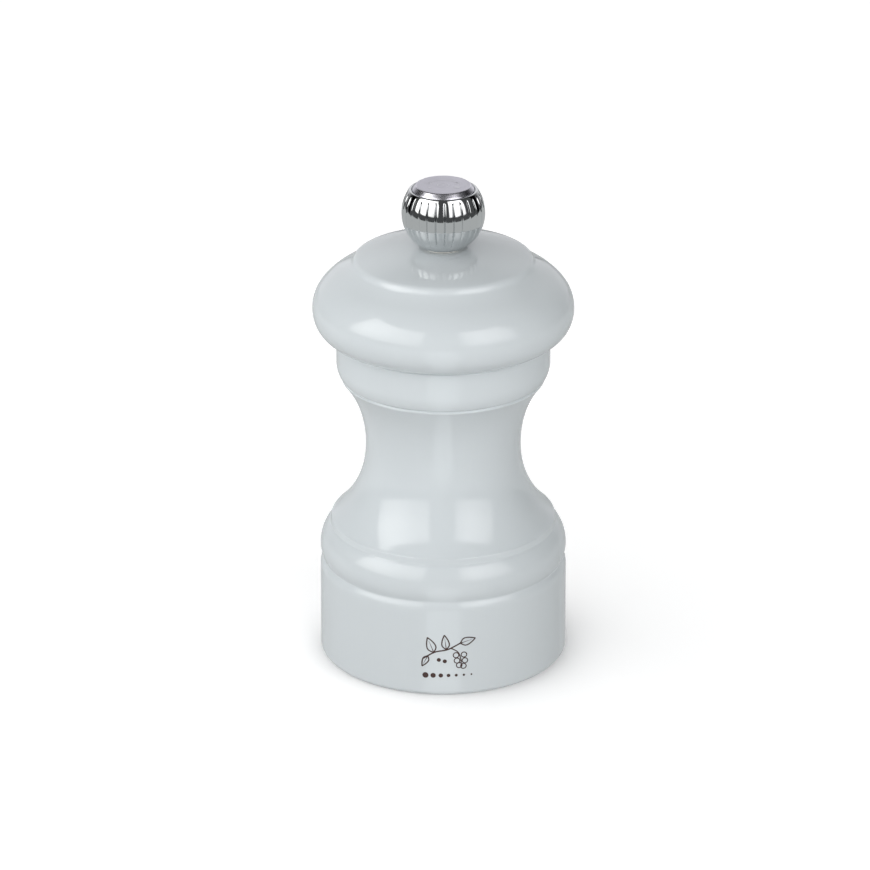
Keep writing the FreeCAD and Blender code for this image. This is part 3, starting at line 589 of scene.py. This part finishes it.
def leaf(base_pt, tip, bulge):
    """A pointed leaf outline with its midrib."""
    b, e = np.array(base_pt, float), np.array(tip, float)
    d = e - b
    nrm = np.array([-d[1], d[0]])
    one = curve_line([b, b + 0.28 * d + bulge * nrm, b + 0.62 * d + 0.82 * bulge * nrm, e], 36)
    two = curve_line([e, b + 0.62 * d - 0.82 * bulge * nrm, b + 0.28 * d - bulge * nrm, b], 36)
    return [stroke(one, 0.26, on_base), stroke(two, 0.26, on_base), stroke([b, b + 0.78 * d], 0.18, on_base, taper=True)]


sprig = [stroke(curve_line([(-4.1, 8.2), (-1.7, 9.7), (0.9, 10.3), (3.4, 11.6)]), 0.30, on_base)]
sprig += leaf((-1.9, 9.6), (-3.2, 12.9), 0.24)
sprig += leaf((0.6, 10.25), (0.2, 13.5), 0.22)
sprig += leaf((3.4, 11.6), (6.5, 12.5), 0.24)
sprig += leaf((-3.1, 8.85), (-4.3, 6.5), 0.22)
sprig.append(stroke(curve_line([(1.5, 10.6), (2.9, 9.7), (3.5, 8.2), (3.6, 6.6)]), 0.24, on_base))
for cx, cz in ((2.55, 9.0), (4.15, 9.05), (2.75, 7.8), (4.35, 7.75), (3.2, 6.75), (4.05, 6.55)):
    sprig.append(stroke(arc_line(cx, cz, 0.56, 0, 360, 28), 0.22, on_base, closed=True))
for cx, cz in ((0.3, 7.7), (-0.9, 8.0)):
    sprig.append(spot((cx, cz), 0.42, on_base))
for i, r in enumerate((0.62, 0.54, 0.46, 0.38, 0.31, 0.25, 0.20)):
    sprig.append(spot((-3.6 + i * 1.55, 4.55), r, on_base))
vs, fs = gather(sprig)
print_mark = new_object("printed_sprig", vs, fs, "base", [PRINT], sharp=None)

# ---------------------------------------------------------------------------
# grind spring with closed, ground ends
# ---------------------------------------------------------------------------
WIRE, COIL = 0.38, 4.58
Z_LOW, Z_HIGH = 18.3 + WIRE, 24.8 - WIRE
TURNS = 5.6
steps = int(TURNS * 64) + 1
u = np.linspace(0, TURNS, steps)
closed = 0.9
rise = np.where(u < closed, 0.0, np.where(u > TURNS - closed, 1.0, (u - closed) / (TURNS - 2 * closed)))
lead = 2 * WIRE * 0.98
z = Z_LOW + np.clip(u / closed, 0, 1) * lead * 0.9 + rise * ((Z_HIGH - Z_LOW) - 2 * lead * 0.9) + np.clip((u - TURNS + closed) / closed, 0, 1) * lead * 0.9
verts, faces = [], []
ring_n = 14
for i in range(steps):
    a = 2 * math.pi * u[i]
    er = np.array([math.cos(a), math.sin(a), 0.0])
    ez = np.array([0.0, 0.0, 1.0])
    c = er * COIL + ez * z[i]
    for k in range(ring_n):
        b = 2 * math.pi * k / ring_n
        p = c + WIRE * (math.cos(b) * er + math.sin(b) * ez)
        p[2] = min(max(p[2], 18.3), 24.8)
        verts.append(tuple(p * MM))
for i in range(steps - 1):
    for k in range(ring_n):
        k2 = (k + 1) % ring_n
        faces.append((i * ring_n + k, (i + 1) * ring_n + k, (i + 1) * ring_n + k2, i * ring_n + k2))
faces.append(tuple(range(ring_n)))
faces.append(tuple((steps - 1) * ring_n + k for k in range(ring_n))[::-1])
spring = new_object("grind_spring_coil", verts, faces, "base", [SPRING], sharp=40.0)
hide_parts("spring")
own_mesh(spring)

# ---------------------------------------------------------------------------
# finish of the parts that keep their own shape
# ---------------------------------------------------------------------------
FINISH = {
    "knob_thread_insert": BRASS, "knob_washer": NYLON, "drive_plate": STEEL_SHEET, "drive_plate_screws": ZINC,
    "neck_ring": BLACK, "drive_shaft": ALU, "grinding_rotor": STEEL_DARK, "rotor_washer": ZINC, "rotor_nut": ZINC,
    "grinding_ring": STEEL_DARK, "bridge_bracket": STEEL_SHEET, "thrust_washer": STEEL_TURNED,
    "base_ring": STEEL_SHEET, "base_ring_screws": ZINC,
}
for name, mat in FINISH.items():
    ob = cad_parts[name]
    ob.data.materials.clear()
    ob.data.materials.append(mat)

# ---------------------------------------------------------------------------
# camera, floor and light
# ---------------------------------------------------------------------------
cam_data = bpy.data.cameras.new("camera")
cam = bpy.data.objects.new("camera", cam_data)
COL.objects.link(cam)
PHI = math.radians(22.939)
DIST = 0.900
cam.location = (0.0, -DIST * math.cos(PHI), 0.05 + DIST * math.sin(PHI))
cam.rotation_euler = (math.pi / 2 - PHI, 0.0, 0.0)
cam_data.sensor_width = 36.0
cam_data.lens = 4.95677 * 900.0 * 36.0 / 870.0
cam_data.shift_x = -(443.3 - 435.0) / 870.0
cam_data.shift_y = -(435.0 - 417.9) / 870.0
cam_data.clip_start, cam_data.clip_end = 0.05, 20.0
SC.camera = cam


def ramp01(x, x0, x1):
    """0 at x0 to 1 at x1, smoothly; x1 may lie below x0."""
    k = np.clip((x - x0) / (x1 - x0), 0, 1)
    return k * k * (3 - 2 * k)


def glow_material(name, colour=(1, 1, 1), strength=1.0, painted=True):
    """A light panel: even, or with its brightness painted on the panel itself."""
    m = bpy.data.materials.new(name)
    m.use_nodes = True
    t = m.node_tree
    t.nodes.clear()
    o = t.nodes.new("ShaderNodeOutputMaterial")
    e = t.nodes.new("ShaderNodeEmission")
    e.inputs[0].default_value = (*colour, 1)
    e.inputs[1].default_value = strength
    if painted:
        g = t.nodes.new("ShaderNodeAttribute")
        g.attribute_name = "glow"
        k = t.nodes.new("ShaderNodeMath")
        k.operation = "MULTIPLY"
        k.inputs[1].default_value = strength
        t.links.new(g.outputs["Fac"], k.inputs[0])
        t.links.new(k.outputs[0], e.inputs[1])
    t.links.new(e.outputs[0], o.inputs[0])
    return m


def studio_piece(name, verts, faces, mat, camera=False, gloss=False, diffuse=False, shadow=False, glow=None):
    me = bpy.data.meshes.new(name)
    me.from_pydata(verts, [], faces)
    me.materials.append(mat)
    if glow is not None:
        at = me.attributes.new("glow", "FLOAT", "POINT")
        at.data.foreach_set("value", np.asarray(glow, np.float32))
    me.polygons.foreach_set("use_smooth", np.ones(len(me.polygons), bool))
    ob = bpy.data.objects.new(name, me)
    COL.objects.link(ob)
    ob.visible_camera, ob.visible_glossy, ob.visible_diffuse = camera, gloss, diffuse
    ob.visible_transmission, ob.visible_volume_scatter, ob.visible_shadow = gloss, False, shadow
    return ob


def panel(name, radius, az, el, bright, mat, gloss, diffuse, cells=(40, 24)):
    """A curved softbox round the object: az from the front towards +X, el above the horizon, in degrees."""
    aa = np.linspace(az[0], az[1], cells[0])
    ee = np.linspace(el[0], el[1], cells[1])
    verts, glow = [], []
    for e in ee:
        for a in aa:
            ra, re = math.radians(a), math.radians(e)
            verts.append((radius * math.cos(re) * math.sin(ra), -radius * math.cos(re) * math.cos(ra), 0.05 + radius * math.sin(re)))
            glow.append(float(bright(a, e)))
    n = len(aa)
    faces = [(j * n + i, j * n + i + 1, (j + 1) * n + i + 1, (j + 1) * n + i) for j in range(len(ee) - 1) for i in range(n - 1)]
    return studio_piece(name, verts, faces, mat, gloss=gloss, diffuse=diffuse, glow=glow)


def disc_points(radius, z=0.0, n=96):
    return [(radius * math.cos(2 * math.pi * i / n), radius * math.sin(2 * math.pi * i / n), z) for i in range(n)]


# floor the camera sees: plain white with a faint contact shadow, partly real shade from the fill panels and partly
# painted: its glow is painted darker round the foot
floor_mat = bpy.data.materials.new("floor_white")
floor_mat.use_nodes = True
fb = floor_mat.node_tree.nodes["Principled BSDF"]
fb.inputs["Base Color"].default_value = (0.93, 0.93, 0.93, 1)
fb.inputs["Roughness"].default_value = 1.0
fb.inputs["Specular IOR Level"].default_value = 0.0
fb.inputs["Emission Color"].default_value = (1, 1, 1, 1)
fg = floor_mat.node_tree.nodes.new("ShaderNodeAttribute")
fg.attribute_name = "glow"
floor_mat.node_tree.links.new(fg.outputs["Fac"], fb.inputs["Emission Strength"])
RINGS = [0.0225, 0.0245, 0.0252, 0.0260, 0.0270, 0.0283, 0.0300, 0.0325, 0.0360, 0.0420, 0.0600, 1.6]
ring_verts, ring_glow_painted_shadow = [(0.0, 0.0, -0.0001)], [0.0]
for r in RINGS:
    ring_verts += disc_points(r, -0.0001)
    # the floor's glow is painted down towards the foot: a painted contact shadow
    ring_glow_painted_shadow += [0.06 + 0.32 * (1 - math.exp(-max(r - 0.0245, 0.0) / 0.0045))] * 96
ring_faces = [(0, 1 + i, 1 + (i + 1) % 96) for i in range(96)]
for k in range(len(RINGS) - 1):
    a0, b0 = 1 + 96 * k, 1 + 96 * (k + 1)
    ring_faces += [(a0 + i, b0 + i, b0 + (i + 1) % 96, a0 + (i + 1) % 96) for i in range(96)]
studio_piece("floor", ring_verts, ring_faces, floor_mat, camera=True, glow=ring_glow_painted_shadow)

# what the floor throws back on the object
studio_piece("floor_bounce", disc_points(0.62, -0.0005), [tuple(range(96))], glow_material("bounce", strength=0.34, painted=False),
             diffuse=True)
studio_piece("floor_sheen", disc_points(0.62, -0.0007), [tuple(range(96))], glow_material("sheen", (0.97, 1.0, 1.0), 0.50, painted=False),
             gloss=True)

# white backdrop behind everything
bpy.ops.mesh.primitive_uv_sphere_add(segments=48, ring_count=24, radius=6.0)
dome = bpy.context.object
dome.name = "backdrop"
dome.data.materials.append(glow_material("backdrop_white", strength=1.03, painted=False))
for flag in ("visible_glossy", "visible_diffuse", "visible_transmission", "visible_volume_scatter", "visible_shadow"):
    setattr(dome, flag, False)


def steps(x, xs, ys):
    return float(np.interp(x, xs, ys))


def left_box(a, e):
    across = steps(a, (-90, -86, -76, -58, -40, -26, -19.5, -18), (0.0, 0.70, 1.0, 0.92, 0.62, 0.52, 0.50, 0.0))
    return across * (0.66 * ramp01(e, 4, 8) + 0.34 * ramp01(e, 8, 30)) * ramp01(e, 54, 49)


def right_box(a, e):
    across = steps(a, (15, 17.5, 34, 50, 64, 69), (0.0, 0.55, 0.95, 0.80, 0.60, 0.0))
    return across * (0.66 * ramp01(e, 4, 8) + 0.34 * ramp01(e, 8, 28)) * ramp01(e, 54, 48)


def front_fill(a, e):
    side = ramp01(a, -158, -118)
    return side * ramp01(a, 84, 66) * ramp01(e, -16, -10) * ramp01(e, 66, 42)


def low_fill(a, e):
    return ramp01(a, -160, -120) * ramp01(a, 100, 78) * ramp01(e, -16, -11) * ramp01(e, 12, 4)


def back_fill(a, e):
    return ramp01(a, 132, 150) * ramp01(a, 228, 210) * ramp01(e, -5, 10) * ramp01(e, 75, 60)


def back_glow(a, e):
    return ramp01(a, 116, 165) * ramp01(a, 244, 195) * ramp01(e, -6, -4) * ramp01(e, 52, 30)


panel("softbox_left", 1.5, (-92, -17), (3.5, 58), left_box, glow_material("box_left", (1.0, 1.0, 0.985), 3.4), True, False, (76, 56))
panel("softbox_right", 1.5, (15, 69), (3.5, 58), right_box, glow_material("box_right", (1.0, 0.99, 1.0), 2.9), True, False, (60, 56))
panel("fill_front", 2.0, (-158, 84), (-16, 66), front_fill, glow_material("fill_front", (1.0, 1.0, 1.0), 1.49), False, True)
panel("fill_low", 1.9, (-160, 100), (-16, 12), low_fill, glow_material("fill_low", (1.0, 1.0, 1.0), 2.70), False, True)
panel("fill_back", 2.0, (132, 228), (-5, 75), back_fill, glow_material("fill_back", (1.0, 1.0, 1.0), 0.9), False, True)
panel("glow_back", 1.8, (102, 258), (-6, 52), back_glow, glow_material("glow_back", (0.97, 0.97, 1.0), 0.85), True, False, (60, 30))

world = bpy.data.worlds.new("room")
SC.world = world
world.use_nodes = True
wb = world.node_tree.nodes["Background"]
wb.inputs[0].default_value = (0.95, 0.98, 1.0, 1)
wb.inputs[1].default_value = 0.075

SC.view_settings.view_transform = "Standard"
SC.view_settings.look = "None"
SC.view_settings.exposure = 0.0
SC.view_settings.gamma = 1.0
